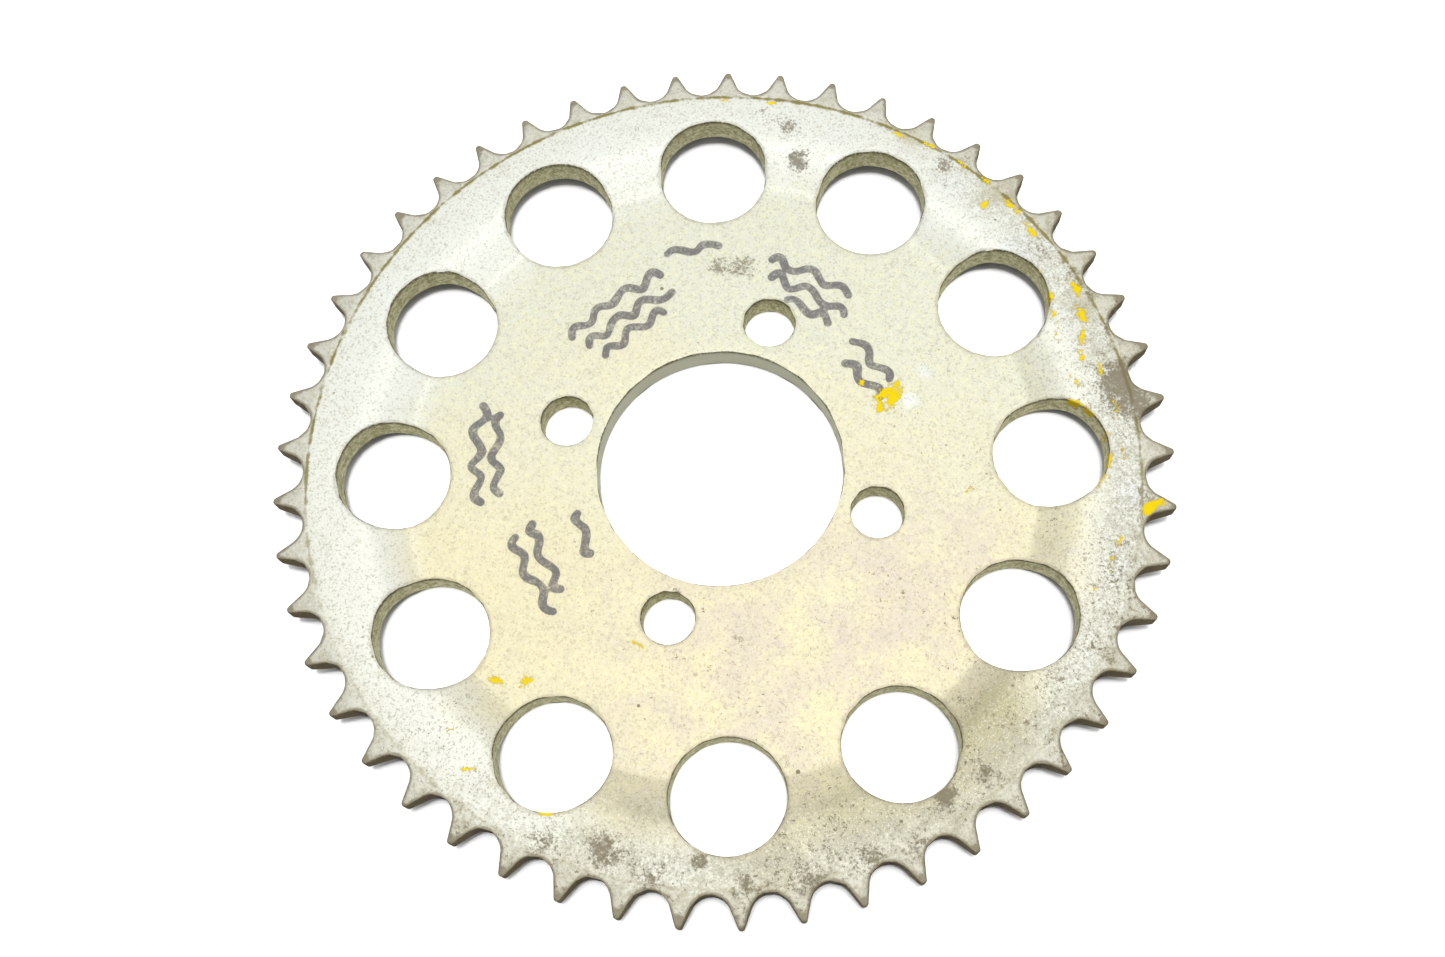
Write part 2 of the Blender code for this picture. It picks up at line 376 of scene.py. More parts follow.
def small_holes():
    """Each bolt hole and lightening hole: its centre, its radius and how ragged it is."""
    for bolt in range(BOLT_COUNT):
        centre = at_clock(BOLT_CIRCLE_RADIUS, FIRST_BOLT_CLOCK + bolt * math.tau / BOLT_COUNT)
        yield centre, BOLT_HOLE_RADIUS, BOLT_HOLE_RAGGED
    for hole in range(LIGHTENING_COUNT):
        centre = at_clock(LIGHTENING_CIRCLE_RADIUS, hole * math.tau / LIGHTENING_COUNT)
        yield centre, LIGHTENING_HOLE_RADIUS, LIGHTENING_HOLE_RAGGED


def contours():
    """Each edge loop of the plate, with how ragged its rims and its wall are, in metres."""
    found = [(rim_outline(), *RIM_RAGGED)]
    found.append((hole_outline(np.zeros(2), BORE_RADIUS), *BORE_RAGGED))
    for centre, radius, ragged in small_holes():
        found.append((hole_outline(centre, radius), *ragged))
    return found


def moved_inward(loop, distance):
    """The loop moved into the steel on its left, by a distance that may differ at each point."""
    along = np.roll(loop, -1, axis=0) - loop
    along /= np.linalg.norm(along, axis=1)[:, None]
    normal = np.stack([-along[:, 1], along[:, 0]], axis=-1)
    before = np.roll(normal, 1, axis=0)
    middle = normal + before
    middle /= np.linalg.norm(middle, axis=1)[:, None]
    spread = np.clip(np.sum(middle * normal, axis=1), SHARPEST_CORNER, 1)
    return loop + middle * (distance / spread)[:, None]


def edge_strip(loop, ragged_rim, ragged_wall, seed):
    """Rows of points from the underside's face, round its edge, up the wall and onto the top face."""
    rows = []
    turns = np.radians(EDGE_ANGLES)
    lower_break = LOWER_BREAK + LOWER_BREAK_SWING * np.abs(wobble(loop, LOWER_BREAK_SIZE, seed))
    groups = wobble(loop, CHIP_GROUP_SIZE, seed + 9)
    chips = np.clip(wobble(loop, CHIP_SIZE, seed + 7) + CHIP_GROUPING * groups, 0, 1)
    upper_break = UPPER_BREAK + CHIP_DEPTH * ragged_rim * chips
    for turn in turns[::-1]:
        points = moved_inward(loop, lower_break * (1 - math.cos(turn)))
        rows.append(np.column_stack([points, underside(points) + lower_break * (1 - math.sin(turn))]))
    low, high = rows[-1][:, 2], top_side(loop) - upper_break
    for row in range(1, WALL_ROWS):
        share = row / WALL_ROWS
        rough = ragged_wall * (1 + wobble(loop, WALL_ROUGH_SIZE, seed + 20 + 3 * share))
        points = moved_inward(loop, rough)
        rows.append(np.column_stack([points, low + (high - low) * share]))
    for turn in turns:
        points = moved_inward(loop, upper_break * (1 - math.cos(turn)))
        rows.append(np.column_stack([points, top_side(points) - upper_break * (1 - math.sin(turn))]))
    return rows


# ---------------------------------------------------------------- marks on the top face

def scribble_points(scribble, seed):
    """A wavy pen line along an arc, as close points."""
    clock_from, clock_to, radius_from, radius_to, swings, height = scribble
    share = np.linspace(0, 1, round(swings * PEN_POINTS_PER_SWING))
    rng = np.random.default_rng(seed)
    reach = np.interp(share, np.linspace(0, 1, 6), rng.uniform(PEN_LEAST_REACH, 1, 6))
    swing = reach * np.sin(share * swings * math.tau)
    drift = rng.uniform(-PEN_DRIFT_DEGREES, PEN_DRIFT_DEGREES, 5)
    drift = np.interp(share, np.linspace(0, 1, 5), drift)
    clock = np.radians(clock_from + (clock_to - clock_from) * share + drift)
    radius = radius_from + (radius_to - radius_from) * share + 0.5 * height * swing
    return at_clock(radius * MM, clock)


def distance_to_line(points, line):
    """Shortest distance from each point to a polyline."""
    best = np.full(len(points), 1.0)
    for start, end in zip(line[:-1], line[1:]):
        step = end - start
        share = np.clip((points - start) @ step / (step @ step), 0, 1)
        best = np.minimum(best, np.linalg.norm(points - start - share[:, None] * step, axis=1))
    return best


def pen_distance(points):
    """Distance outside the nearest pen stroke's edge, negative within it."""
    best = np.full(len(points), 1.0)
    for index, scribble in enumerate(PEN_SCRIBBLES):
        best = np.minimum(best, distance_to_line(points, scribble_points(scribble, index)))
    return best - PEN_HALF_WIDTH * (1 + PEN_WIDTH_SWING * wobble(points, PEN_WIDTH_SWING_SIZE, 31.0))


def paint_cover(points):
    """How deep each point lies in a paint fleck: 0 outside, and more towards a wide fleck's middle."""
    cover = np.zeros(len(points))
    for clock, radius, length, width, turn in PAINT_FLECKS:
        offset = (points - at_clock(radius * MM, math.radians(clock))) / MM
        angle = math.radians(turn)
        along = offset @ np.array([math.cos(angle), math.sin(angle)])
        across = offset @ np.array([-math.sin(angle), math.cos(angle)])
        outward = np.hypot(along / (length / 2), across / (width / 2))
        thickness = min(PAINT_DEPTH + PAINT_DEPTH_PER_WIDTH * width, DEEPEST_PAINT)
        cover = np.maximum(cover, thickness * (PAINT_REACH - outward))
    return cover


def patch_cover(points, patches):
    """From 0 to 1, how much of the soft patches' stain lies at a point."""
    clean = np.ones(len(points))
    for clock, radius, size, strength in patches:
        away = np.linalg.norm(points - at_clock(radius * MM, math.radians(clock)), axis=1) / (size * MM)
        clean *= 1 - strength * np.exp(-PATCH_FADE * away ** 2)
    return 1 - clean


# ---------------------------------------------------------------- the mesh

def ring_points():
    """Points in rings over the top face, closer together at the bend."""
    radii = np.arange(BORE_RADIUS + BORE_CLEARANCE, TIP_RADIUS, FACE_STEP)
    bend = np.arange(BEND_RADII[0] - BEND_STEP, BEND_RADII[1] + BEND_EXTRA, BEND_STEP)
    from_bend = np.abs(radii - bend.mean())
    radii = np.concatenate([radii[from_bend > (bend[-1] - bend[0]) / 2 + BEND_CLEARANCE], bend])
    from_relief = np.abs(radii - RELIEF_INNER_RADIUS)
    radii = np.concatenate([radii[from_relief > RELIEF_CLEARANCE], [RELIEF_INNER_RADIUS]])
    rings = []
    for index, radius in enumerate(np.sort(radii)):
        count = round(math.tau * radius / FACE_STEP)
        rings.append(at_clock(radius, (np.arange(count) + 0.5 * (index % 2)) * math.tau / count))
    return np.vstack(rings)


def fine_points():
    """A finer grid of points over the top face, every second row moved by half a step."""
    axis = np.arange(-TIP_RADIUS, TIP_RADIUS, MARK_STEP)
    grid = np.stack(np.meshgrid(axis, axis), axis=-1).reshape(-1, 2)
    grid[:, 0] += 0.5 * MARK_STEP * (np.round(grid[:, 1] / MARK_STEP) % 2)
    return grid


def marked(points, reach):
    """Whether each point is at a pen stroke's edge, within a reach, or in a paint fleck."""
    return (np.abs(pen_distance(points)) < reach) | (paint_cover(points) > LEAST_PAINT)


def face_points(outline, rim_tree):
    """The top face's inner points: rings, and the finer grid at the marks, clear of the rims."""
    rings, fine = ring_points(), fine_points()
    rings = rings[~marked(rings, RINGS_STOP)]
    fine = fine[marked(fine, FINE_GRID_REACH)]
    kept = []
    for points, clearance in ((rings, FACE_CLEARANCE), (fine, MARK_CLEARANCE)):
        for x, y in points:
            if rim_tree.find((x, y, 0))[2] > clearance:
                kept.append((x, y))
    kept = np.array(kept)
    return kept[in_steel(kept, outline)]


def in_steel(points, outline):
    """Whether each point is inside the toothed rim and outside every hole."""
    clock = np.arctan2(outline[:, 1], outline[:, 0])
    limit = np.interp(np.arctan2(points[:, 1], points[:, 0]), np.sort(clock),
                      np.hypot(*outline.T)[np.argsort(clock)], period=math.tau)
    radius = np.hypot(*points.T)
    inside = (radius < limit) & (radius > BORE_RADIUS)
    for centre, hole_radius, _ in small_holes():
        inside &= np.linalg.norm(points - centre, axis=1) > hole_radius
    return inside


def point_tree(points):
    """A search tree of XY points."""
    tree = kdtree.KDTree(len(points))
    for index, (x, y) in enumerate(points):
        tree.insert((x, y, 0), index)
    tree.balance()
    return tree


def face_triangles(rims, inner, outline):
    """The triangles of one face, numbered through the rims' points and then the inner points."""
    flat = [Vector(point) for point in np.vstack([*rims, inner])]
    links, start = [], 0
    for rim in rims:
        count = len(rim)
        links += [(start + i, start + (i + 1) % count) for i in range(count)]
        start += count
    _, _, triangles, _, _, _ = geometry.delaunay_2d_cdt(flat, links, [], 0, SAME_POINT, False)
    triangles = np.array(triangles)
    middles = np.array(flat)[triangles].mean(axis=1)
    return triangles[in_steel(middles, outline)]


def strip_quads(count, rows, start):
    """The quads of one strip whose first point has the number start."""
    around = np.arange(count)
    after = (around + 1) % count
    quads = []
    for row in range(rows - 1):
        low, high = start + row * count, start + (row + 1) * count
        quads.append(np.column_stack([low + around, low + after, high + after, high + around]))
    return np.vstack(quads)


def face_numbers(strips, starts, row, inner_start, inner_count):
    """The mesh numbers of one face's points: a row of every strip, then the inner points."""
    numbers = []
    for strip, start in zip(strips, starts):
        count = len(strip[0])
        numbers.append(start + row * count + np.arange(count))
    return np.concatenate(numbers + [inner_start + np.arange(inner_count)])


def on_rows(strips, starts, total, first, last):
    """1 for the points on the strips' rows from first to last, and 0 for all others."""
    flags = np.zeros(total)
    for strip, start in zip(strips, starts):
        count = len(strip[0])
        flags[start + first * count:start + (last + 1) * count] = 1.0
    return flags


def shore_distance(total, inner, inner_starts, rim_tree):
    """Distance in mm from the nearest rim, up to FAR_AWAY, for the inner points; 0 on the strips."""
    shore = np.zeros(total)
    from_rim = np.array([rim_tree.find((x, y, 0))[2] for x, y in inner])
    for start in inner_starts:
        shore[start:start + len(inner)] = np.minimum(from_rim / MM, FAR_AWAY)
    return shore


def add_marks(mesh, points):
    """Attributes for the pen, paint and stains, which the materials read."""
    flat = points[:, :2]
    on_top = points[:, 2] > 0.5 * (underside(flat) + top_side(flat))
    add_attribute(mesh, "top", on_top.astype(float))
    pen = np.minimum(pen_distance(flat) / MM, FAR_AWAY)
    add_attribute(mesh, "pen", np.where(on_top, pen, FAR_AWAY))
    add_attribute(mesh, "paint", np.where(on_top, paint_cover(flat), 0.0))
    add_attribute(mesh, "grime", patch_cover(flat, GRIME_PATCHES))
    add_attribute(mesh, "tarnish_and_bend_shade", patch_cover(flat, TARNISH_AND_BEND_SHADE_PATCHES))
    add_attribute(mesh, "wiped", patch_cover(flat, WIPED_PATCHES))


def make_plate():
    """The whole sprocket plate as one closed mesh with its mark attributes."""
    loops = contours()
    outline = loops[0][0]
    strips = [edge_strip(loop, rim, wall, 11.0 * index) for index, (loop, rim, wall) in enumerate(loops)]
    rows = len(strips[0])
    rims = [strip[-1][:, :2] for strip in strips]
    rim_tree = point_tree(np.vstack(rims))
    inner = face_points(outline, rim_tree)
    triangles = face_triangles(rims, inner, outline)

    # Points: every strip row by row, then the top's inner points, then the underside's.
    points, quads, starts, start = [], [], [], 0
    for strip in strips:
        count = len(strip[0])
        starts.append(start)
        points += strip
        quads.append(strip_quads(count, rows, start))
        start += count * rows
    top_start, low_start = start, start + len(inner)
    points.append(np.column_stack([inner, top_side(inner)]))
    points.append(np.column_stack([inner, underside(inner)]))
    points = np.vstack(points)

    # The underside has the same triangles as the top, turned over.
    top_faces = face_numbers(strips, starts, rows - 1, top_start, len(inner))[triangles]
    low_faces = face_numbers(strips, starts, 0, low_start, len(inner))[triangles][:, ::-1]
    faces = np.vstack(quads).tolist() + top_faces.tolist() + low_faces.tolist()
    mesh = bpy.data.meshes.new("plated_sprocket")
    mesh.from_pydata(points.tolist(), [], faces)
    mesh.shade_smooth()

    total, turn_rows = len(points), len(EDGE_ANGLES)
    add_attribute(mesh, "wall", on_rows(strips, starts, total, turn_rows - 1, rows - turn_rows))
    add_attribute(mesh, "edge", on_rows(strips, starts, total, rows - turn_rows, rows - 2))
    add_attribute(mesh, "shore", shore_distance(total, inner, (top_start, low_start), rim_tree))
    add_marks(mesh, points)
    plate = bpy.data.objects.new("plated_sprocket", mesh)
    bpy.context.scene.collection.objects.link(plate)
    return plate


def add_attribute(mesh, name, values):
    """One number at each point of the mesh."""
    attribute = mesh.attributes.new(name, "FLOAT", "POINT")
    attribute.data.foreach_set("value", values.astype(np.float32))


# ---------------------------------------------------------------- materials

# The Mix node's colour sockets, which share their names with its other kinds
COLOUR_A, COLOUR_B, COLOUR_RESULT = 6, 7, 2


class Graph:
    """Short calls for building one material's nodes."""

    def __init__(self, name):
        self.material = bpy.data.materials.new(name)
        self.material.use_nodes = True
        self.tree = self.material.node_tree
        self.shader = self.tree.nodes["Principled BSDF"]
        place = self.tree.nodes.new("ShaderNodeTexCoord").outputs["Object"]
        self.place = self.vector("SCALE", place, scale=1 / MM)

    def put(self, socket, value):
        """Link or set a socket's value."""
        if isinstance(value, bpy.types.NodeSocket):
            self.tree.links.new(value, socket)
        elif isinstance(value, (tuple, list)) and len(value) == 3 and socket.type == "RGBA":
            socket.default_value = (*value, 1.0)
        else:
            socket.default_value = value

    def math(self, operation, a, b=0.0, clamp=False):
        """A Math node's result."""
        node = self.tree.nodes.new("ShaderNodeMath")
        node.operation = operation
        node.use_clamp = clamp
        self.put(node.inputs[0], a)
        self.put(node.inputs[1], b)
        return node.outputs[0]

    def vector(self, operation, a, b=None, scale=None):
        """A Vector Math node's result."""
        node = self.tree.nodes.new("ShaderNodeVectorMath")
        node.operation = operation
        self.put(node.inputs[0], a)
        if b is not None:
            self.put(node.inputs[1], b)
        if scale is not None:
            node.inputs["Scale"].default_value = scale
        return node.outputs["Value" if operation == "LENGTH" else "Vector"]

    def ramp(self, value, low, high):
        """Smoothly from 0 at low to 1 at high."""
        node = self.tree.nodes.new("ShaderNodeMapRange")
        node.interpolation_type = "SMOOTHSTEP"
        node.clamp = True
        self.put(node.inputs["Value"], value)
        node.inputs["From Min"].default_value = low
        node.inputs["From Max"].default_value = high
        return node.outputs[0]

    def noise(self, size, detail, rough, seed):
        """Noise from 0 to 1 with features of about size millimetres."""
        node = self.tree.nodes.new("ShaderNodeTexNoise")
        node.noise_dimensions = "4D"
        self.put(node.inputs["Vector"], self.place)
        node.inputs["W"].default_value = seed
        node.inputs["Scale"].default_value = 1 / size
        node.inputs["Detail"].default_value = detail
        node.inputs["Roughness"].default_value = rough
        return node.outputs["Fac"]

    def specks(self, cell, share, radius, seed):
        """Round dots up to a radius, given in cells, in some share of the cells: 1 inside, 0 outside."""
        node = self.tree.nodes.new("ShaderNodeTexVoronoi")
        node.voronoi_dimensions = "4D"
        self.put(node.inputs["Vector"], self.place)
        node.inputs["W"].default_value = seed
        node.inputs["Scale"].default_value = 1 / cell
        chosen = self.tree.nodes.new("ShaderNodeSeparateColor")
        self.tree.links.new(node.outputs["Color"], chosen.inputs[0])
        size = self.math("MULTIPLY", chosen.outputs[1], radius)
        near = self.math("LESS_THAN", node.outputs["Distance"], size)
        keep = self.math("LESS_THAN", chosen.outputs[0], share)
        return self.math("MULTIPLY", near, keep)

    def attribute(self, name):
        """A mesh attribute's value."""
        node = self.tree.nodes.new("ShaderNodeAttribute")
        node.attribute_name = name
        return node.outputs["Fac"]

    def mix(self, share, a, b):
        """Colour a, with a share of colour b over it."""
        node = self.tree.nodes.new("ShaderNodeMix")
        node.data_type = "RGBA"
        self.put(node.inputs["Factor"], share)
        self.put(node.inputs[COLOUR_A], a)
        self.put(node.inputs[COLOUR_B], b)
        return node.outputs[COLOUR_RESULT]

    def times(self, *values):
        """The product of the values."""
        product = values[0]
        for value in values[1:]:
            product = self.math("MULTIPLY", product, value)
        return product

    def add(self, *terms):
        """The sum of the terms."""
        total = terms[0]
        for term in terms[1:]:
            total = self.math("ADD", total, term)
        return total

    def rest(self, share):
        """What a share leaves of 1."""
        return self.math("SUBTRACT", 1.0, share)

    def swing(self, noise, amount):
        """A noise moved to swing about zero by plus or minus half the amount."""
        return self.times(self.math("SUBTRACT", noise, 0.5), amount)


class PlateGraph(Graph):
    """The plate's graph, with the places and noises its layers share."""

    def __init__(self, name):
        super().__init__(name)
        separate = self.tree.nodes.new("ShaderNodeSeparateXYZ")
        self.put(separate.inputs[0], self.place)
        self.x, self.y = separate.outputs[0], separate.outputs[1]
        self.flat = self.vector("MULTIPLY", self.place, (1.0, 1.0, 0.0))
        self.radius = self.vector("LENGTH", self.flat)
        self.wall, self.edge, self.top = (self.attribute(name) for name in ("wall", "edge", "top"))
        self.cloud = self.noise(38, 3, 0.5, seed=1.0)
        self.blotch = self.noise(9, 4, 0.6, seed=2.0)
        self.mottle = self.noise(2.2, 4, 0.65, seed=3.0)
        self.grain = self.noise(0.55, 2, 0.7, seed=4.0)

    def near(self, place, outer, inner):
        """From 0 at the outer to 1 at the inner distance from an XY place in millimetres."""
        away = self.vector("LENGTH", self.vector("SUBTRACT", self.flat, (*place, 0.0)))
        return self.ramp(away, outer, inner)


def passivate(g):
    """Cream on the hub disc, greener at the far side, lilac patches, a paler ring and bluish white by the
    rim, with partly painted reflection in the far-to-near tint and the paler ring, and painted shade on the
    near half.
    """
    # The far-to-near tint is partly the passivate's own colour and partly a painted reflection.
    warmth = g.add(g.times(g.y, -0.008), g.times(g.cloud, 0.9))
    colour = g.mix(g.ramp(warmth, 0.0, 0.8), FAR_PLATING_AND_REFLECTION, NEAR_PLATING_AND_REFLECTION)
    patchy = g.ramp(g.add(g.blotch, g.swing(g.grain, 0.25)), 0.36, 0.66)
    lilac = g.times(g.add(g.near((2.0, -52.0), 48.0, 14.0), g.near((45.0, -30.0), 40.0, 8.0)), patchy)
    colour = g.mix(g.math("MULTIPLY", lilac, 0.72, clamp=True), colour, LILAC_PLATING)
    cells = g.noise(1.2, 3, 0.6, seed=12.0)
    colour = g.mix(g.times(g.ramp(cells, 0.48, 0.62), 0.32), colour, YELLOW_CELLS)
    # Painted shade: the near half of the hub is darkened in soft blotches.
    dull = g.times(g.ramp(g.add(g.y, g.swing(g.cloud, 50.0)), 20.0, -50.0), g.ramp(g.blotch, 0.30, 0.70))
    colour = g.mix(g.times(dull, 0.45), colour, NEAR_SIDE_PAINTED_SHADE)
    # The paler outer ring is partly the plating's own tint and partly a painted reflection of the bend's
    # outer slope, reaching further in towards the far left.
    far_left = g.add(g.times(g.y, 0.08), g.times(g.x, -0.06))
    reach = g.add(g.radius, far_left, g.swing(g.blotch, 12.0))
    pale = g.mix(g.ramp(g.mottle, 0.35, 0.65), RING_PLATING_AND_SHEEN, RING_PLATING_AND_SHEEN_PALER)
    colour = g.mix(g.times(g.ramp(reach, *RING_STARTS), 0.85), colour, pale)
    wiped = g.ramp(g.add(g.attribute("wiped"), g.swing(g.mottle, 0.9)), 0.30, 0.90)
    return g.mix(g.times(wiped, g.top, 0.8), colour, WIPED_PLATING)


def tarnish_and_bend_shade(g, colour):
    """An olive film outside the crease, in patches, partly tarnishing and partly painted shade of the bend,
    and a faint grey mottle everywhere.
    """
    # Painted shade: the olive film stands in partly for the shade of the pressed bend, heaviest on the near
    # side.
    outside = g.add(g.times(g.ramp(g.radius, *FILM_AND_SHADE_STARTS), 0.20),
                    g.times(g.ramp(g.radius, *FILM_AND_SHADE_THICKENS), 0.80))
    film = g.add(g.attribute("tarnish_and_bend_shade"), g.swing(g.blotch, 0.5), g.swing(g.mottle, 0.5))
    film = g.times(g.ramp(film, 0.10, 0.85), outside, g.top)
    colour = g.mix(film, colour, OLIVE_FILM_AND_BEND_SHADE)
    return g.mix(g.times(g.ramp(g.mottle, 0.48, 0.72), 0.28), colour, GREY_MOTTLE)


def rim_soil(g, colour):
    """Grey-brown soil towards the rim, heavier on the near right."""
    towards_rim = g.ramp(g.add(g.radius, g.swing(g.blotch, 10.0)), *SOIL_STARTS)
    lean = g.add(g.x, g.times(g.y, -0.7), g.swing(g.cloud, 60.0))
    by_side = g.add(0.25, g.times(g.ramp(lean, -40.0, 60.0), 0.75))
    soil = g.times(towards_rim, by_side, g.top)
    soil = g.times(soil, g.ramp(g.add(g.mottle, g.swing(g.grain, 1.0)), 0.15, 0.70))
    return g.mix(g.times(soil, 0.85), colour, RIM_SOIL)


def fine_grain(g, colour):
    """A fine light and dark grain, stronger towards the rim on the near right."""
    near_right = g.ramp(g.add(g.y, g.times(g.x, -0.6)), 60.0, -40.0)
    near = g.add(g.times(near_right, 0.7), 0.3)
    rougher = g.times(g.ramp(g.add(g.radius, g.swing(g.blotch, 20.0)), *GRAIN_ROUGHENS), near)
    light_grain = g.ramp(g.noise(0.45, 3, 0.7, seed=13.0), 0.52, 0.66)
    light_grain = g.times(light_grain, g.add(0.20, g.times(rougher, 0.25)))
    colour = g.mix(light_grain, colour, LIGHT_GRAIN)
    dark_grain = g.times(g.ramp(g.grain, 0.53, 0.64), g.add(0.36, g.times(rougher, 0.24)))
    return g.mix(dark_grain, colour, DARK_GRAIN)


def tooth_faces(g, colour):
    """Greyer tooth faces, brown at the tips, outside a relief line that is dirty in the far half."""
    far = g.ramp(g.y, -40.0, 10.0)
    place = g.add(g.radius, g.swing(g.mottle, 1.2))
    outside = g.mix(far, g.ramp(place, *NEAR_TEETH_START), g.ramp(place, *FAR_TEETH_START))
    darker = g.ramp(g.add(g.mottle, g.swing(g.grain, 0.5)), 0.35, 0.70)
    face = g.mix(darker, TOOTH_FACE, TOOTH_FACE_DARKER)
    near_right = g.ramp(g.math("SUBTRACT", g.x, g.y), -80.0, 40.0)
    worn = g.add(0.55, g.times(near_right, 0.25))
    colour = g.mix(g.times(outside, worn), colour, face)
    tip = g.ramp(g.add(g.radius, g.swing(g.mottle, 1.6), g.swing(g.grain, 0.8)), *TIPS_START)
    colour = g.mix(g.times(tip, 0.80), colour, TOOTH_TIP)
    off_line = g.math("ABSOLUTE", g.math("SUBTRACT", g.radius, RELIEF_LINE_RADIUS))
    off_line = g.add(off_line, g.swing(g.mottle, -1.4))
    line = g.times(g.ramp(off_line, 0.60, 0.10), g.add(g.times(far, 0.8), 0.2), g.top,
                   g.ramp(g.add(g.blotch, g.swing(g.mottle, 0.6)), 0.30, 0.50))
    return g.mix(line, colour, RELIEF_LINE)


def walls(g, colour):
    """Rough olive hole walls, a cleaner bore, tooth gaps darkened by grime and by painted shade."""
    rough = g.noise(0.9, 4, 0.7, seed=5.0)
    tone = g.mix(g.ramp(rough, 0.38, 0.62), WALL_PITS, WALL_STEEL)
    tone = g.mix(g.ramp(g.radius, *BORE_WALL_ENDS), tone, BORE_WALL)
    # The root walls of the tooth gaps are near black, partly grime and partly painted shade of the gaps.
    flank = g.mix(g.ramp(g.radius, *FLANKS_PALER), ROOT_WALL_GRIME_AND_SHADE, FLANK_WALL)
    flank = g.mix(g.times(g.ramp(rough, 0.45, 0.65), 0.4), flank, FLANK_WALL_PALER)
    tone = g.mix(g.ramp(g.radius, *FLANKS_START), tone, flank)
    return g.mix(g.wall, colour, tone)


def edge_stains(g, colour):
    """A brown stain beside the edges, and a dark line along the top ones."""
    shore = g.times(g.ramp(g.add(g.attribute("shore"), g.swing(g.mottle, 1.6)), 0.60, 0.0),
                    g.rest(g.wall), g.ramp(g.radius, *EDGE_STAIN_STARTS))
    shore = g.times(shore, g.add(0.30, g.times(g.ramp(g.radius, *EDGE_STAIN_THICKENS), 0.45)))
    colour = g.mix(shore, colour, EDGE_STAIN)
    line = g.times(g.edge, g.ramp(g.grain, 0.30, 0.50), 0.95)
    return g.mix(line, colour, EDGE_LINE)


def underneath_grime_and_shade(g, colour):
    """The underside: dark as painted shade for the gap beneath the raised ring, and duller, with old chain
    grime.
    """
    under = g.times(g.rest(g.top), g.rest(g.wall))
    old_grime = g.ramp(g.add(g.blotch, g.swing(g.mottle, 0.5)), 0.35, 0.65)
    # Painted shade: the underside is coloured dark so the gap beneath the raised ring stays dark, with
    # blotches of grime.
    dull = g.mix(old_grime, UNDERSIDE_SHADE, UNDERSIDE_GRIME_AND_SHADE)
    return g.mix(g.times(under, 0.9), colour, dull)


def dirt_cover(g):
    """Where loose dirt sits: ragged specks and dots, denser near the rim, and grime patches."""
    gather = g.add(g.noise(14, 3, 0.6, seed=6.0), g.times(g.y, -0.0016), g.times(g.x, 0.0008),
                   g.times(g.ramp(g.radius, *SPECKS_GATHER), 0.10))
    ragged = g.add(g.noise(0.9, 4, 0.8, seed=7.0), g.swing(gather, 0.30))
    specks = g.times(g.ramp(ragged, 0.650, 0.685), 0.88)
    dots = g.times(g.specks(5.0, 0.50, 0.11, 8.0), 0.85)
    torn = g.add(g.attribute("grime"), g.swing(g.mottle, 1.5), g.swing(g.grain, 1.4))
    patches = g.times(g.ramp(torn, 0.40, 0.85), 0.78)
    return g.math("MAXIMUM", g.math("MAXIMUM", specks, dots), patches)


def ink_cover(g):
    """Felt pen, thin where it skipped over the grain."""
    out = g.add(g.attribute("pen"), g.swing(g.grain, 0.5), g.swing(g.mottle, 0.5))
    skipped = g.ramp(g.add(g.mottle, g.swing(g.grain, 0.8)), 0.0, 0.60)
    return g.times(g.ramp(out, 0.10, -0.10), skipped, 0.92)


def paint_chips(g):
    """Yellow paint, broken into small ragged chips."""
    flaking = g.add(g.swing(g.noise(0.8, 4, 0.8, seed=9.0), 5.4), g.swing(g.mottle, 2.4))
    depth = g.attribute("paint")
    return g.times(g.ramp(g.add(depth, flaking), 0.92, 1.02), g.ramp(depth, 0.05, 0.30))


def surface_relief(g, paint):
    """A bump height in mm from the grain, the pitted walls and the paint's thickness."""
    return g.add(g.times(g.grain, 0.020), g.times(g.mottle, 0.030),
                 g.times(g.wall, g.noise(0.7, 4, 0.7, seed=10.0), 0.15), g.times(paint, 0.05))


def plated_steel():
    """Zinc plating with a pale yellow passivate, worn and soiled, with some painted shade and painted
    reflection in its colour.
    """
    g = PlateGraph("plated_steel")
    colour = fine_grain(g, rim_soil(g, tarnish_and_bend_shade(g, passivate(g))))
    colour = walls(g, tooth_faces(g, colour))
    colour = underneath_grime_and_shade(g, edge_stains(g, colour))
    ink, dirt, paint = ink_cover(g), dirt_cover(g), paint_chips(g)
    colour = g.mix(ink, colour, INK)
    colour = g.mix(dirt, colour, DIRT)
    colour = g.mix(paint, colour, PAINT)
    g.put(g.shader.inputs["Base Color"], colour)

    covered = g.math("MAXIMUM", g.math("MAXIMUM", dirt, paint), g.math("MAXIMUM", ink, g.wall))
    bare = g.math("SUBTRACT", 1.0, covered, clamp=True)
    rough = g.add(ROUGHNESS, g.times(g.grain, GRAIN_ROUGHNESS), g.times(covered, COVERED_ROUGHNESS))
    g.put(g.shader.inputs["Metallic"], g.times(bare, METALLIC))
    g.put(g.shader.inputs["Roughness"], rough)
    g.put(g.shader.inputs["Specular IOR Level"], g.add(0.5, g.times(covered, -COVERED_SPECULAR_LOSS)))

    bump = g.tree.nodes.new("ShaderNodeBump")
    bump.inputs["Distance"].default_value = MM
    g.put(bump.inputs["Height"], surface_relief(g, paint))
    g.put(g.shader.inputs["Normal"], bump.outputs[0])
    return g.material


def table_top():
    """A plain pale table with a hardly visible cloudiness."""
    g = Graph("table_top")
    tone = g.mix(g.ramp(g.noise(60, 3, 0.5, seed=9.0), 0.3, 0.7), TABLE, TABLE_PALER)
    g.put(g.shader.inputs["Base Color"], tone)
    g.shader.inputs["Roughness"].default_value = TABLE_ROUGHNESS
    return g.material


# ---------------------------------------------------------------- stage, light and camera

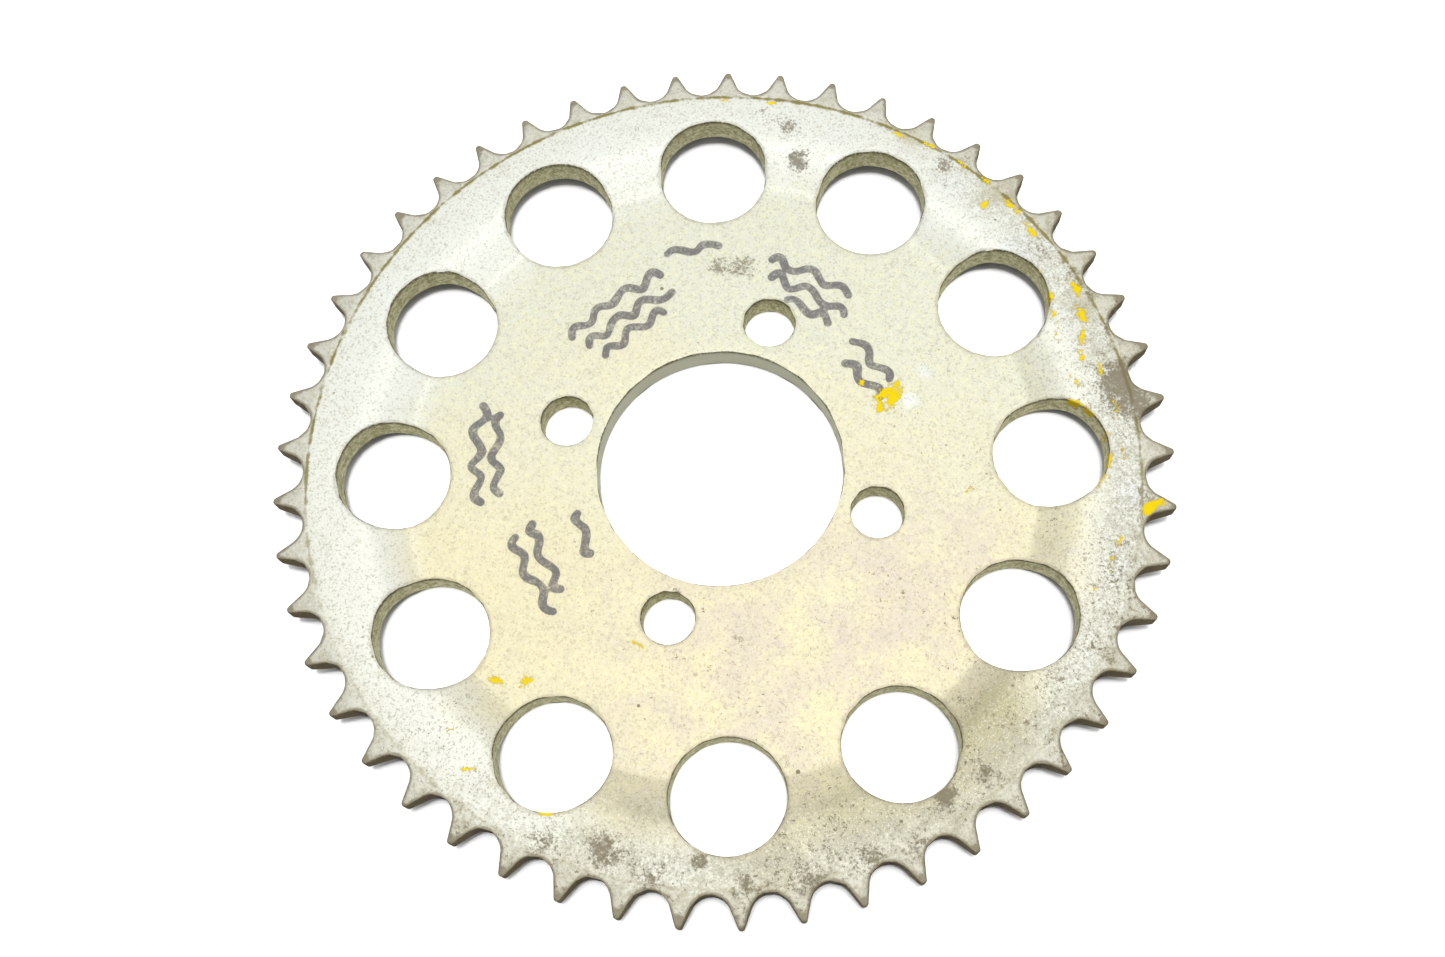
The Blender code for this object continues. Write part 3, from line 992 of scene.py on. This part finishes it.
def make_table():
    """The table, just under the plate."""
    size = TABLE_HALF_SIZE
    mesh = bpy.data.meshes.new("table")
    corners = [(-size, -size, 0), (size, -size, 0), (size, size, 0), (-size, size, 0)]
    mesh.from_pydata(corners, [], [(0, 1, 2, 3)])
    table = bpy.data.objects.new("table", mesh)
    table.location.z = -TABLE_DROP
    table.data.materials.append(table_top())
    bpy.context.scene.collection.objects.link(table)


def make_softbox():
    """A round softbox that faces the plate."""
    data = bpy.data.lights.new("softbox", "AREA")
    data.shape = "DISK"
    data.size = SOFTBOX_SIZE
    data.energy = SOFTBOX_POWER
    data.color = SOFTBOX_COLOUR
    light = bpy.data.objects.new("softbox", data)
    light.location = SOFTBOX_PLACE
    light.rotation_mode = "QUATERNION"
    light.rotation_quaternion = (-Vector(SOFTBOX_PLACE)).to_track_quat("-Z", "Y")
    bpy.context.scene.collection.objects.link(light)


def light_patch(tree, direction, side, outer, inner, strength):
    """The brightness of one soft round patch of the room, in each direction."""
    facing = tree.nodes.new("ShaderNodeVectorMath")
    facing.operation = "DOT_PRODUCT"
    facing.inputs[1].default_value = Vector(side).normalized()
    tree.links.new(direction, facing.inputs[0])
    patch = tree.nodes.new("ShaderNodeMapRange")
    patch.interpolation_type = "SMOOTHSTEP"
    patch.inputs["From Min"].default_value = math.cos(math.radians(outer))
    patch.inputs["From Max"].default_value = math.cos(math.radians(inner))
    patch.inputs["To Max"].default_value = strength
    tree.links.new(facing.outputs["Value"], patch.inputs["Value"])
    return patch.outputs[0]


def make_sky():
    """A dim white room with its soft lights overhead."""
    world = bpy.data.worlds.new("room")
    world.use_nodes = True
    tree = world.node_tree
    direction = tree.nodes.new("ShaderNodeTexCoord").outputs["Generated"]
    patches = [light_patch(tree, direction, *light) for light in ROOM_LIGHTS]
    total = tree.nodes.new("ShaderNodeMath")
    tree.links.new(patches[0], total.inputs[0])
    total.inputs[1].default_value = ROOM_DIM
    for patch in patches[1:]:
        both = tree.nodes.new("ShaderNodeMath")
        tree.links.new(patch, both.inputs[0])
        tree.links.new(total.outputs[0], both.inputs[1])
        total = both
    background = tree.nodes["Background"]
    tree.links.new(total.outputs[0], background.inputs["Strength"])
    background.inputs["Color"].default_value = (1.0, 1.0, 1.0, 1.0)
    bpy.context.scene.world = world


def make_camera():
    """The photograph's viewpoint: above the plate, from the near side."""
    data = bpy.data.cameras.new("camera")
    data.lens = CAMERA_LENS
    data.sensor_width = CAMERA_SENSOR
    data.clip_start = CAMERA_NEAREST
    camera = bpy.data.objects.new("camera", data)
    place = Vector(CAMERA_PLACE)
    aim = (Vector(CAMERA_TARGET) - place).to_track_quat("-Z", "Y").to_matrix()
    turned = aim @ Matrix.Rotation(CAMERA_ROLL, 3, "Z")
    camera.matrix_world = Matrix.Translation(place) @ turned.to_4x4()
    bpy.context.scene.collection.objects.link(camera)
    bpy.context.scene.camera = camera


make_camera()
make_table()
make_sky()
make_softbox()
bpy.context.scene.view_settings.view_transform = "Standard"

plate = make_plate()
plate.data.materials.append(plated_steel())
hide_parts("sprocket_plate")
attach(plate, "root")
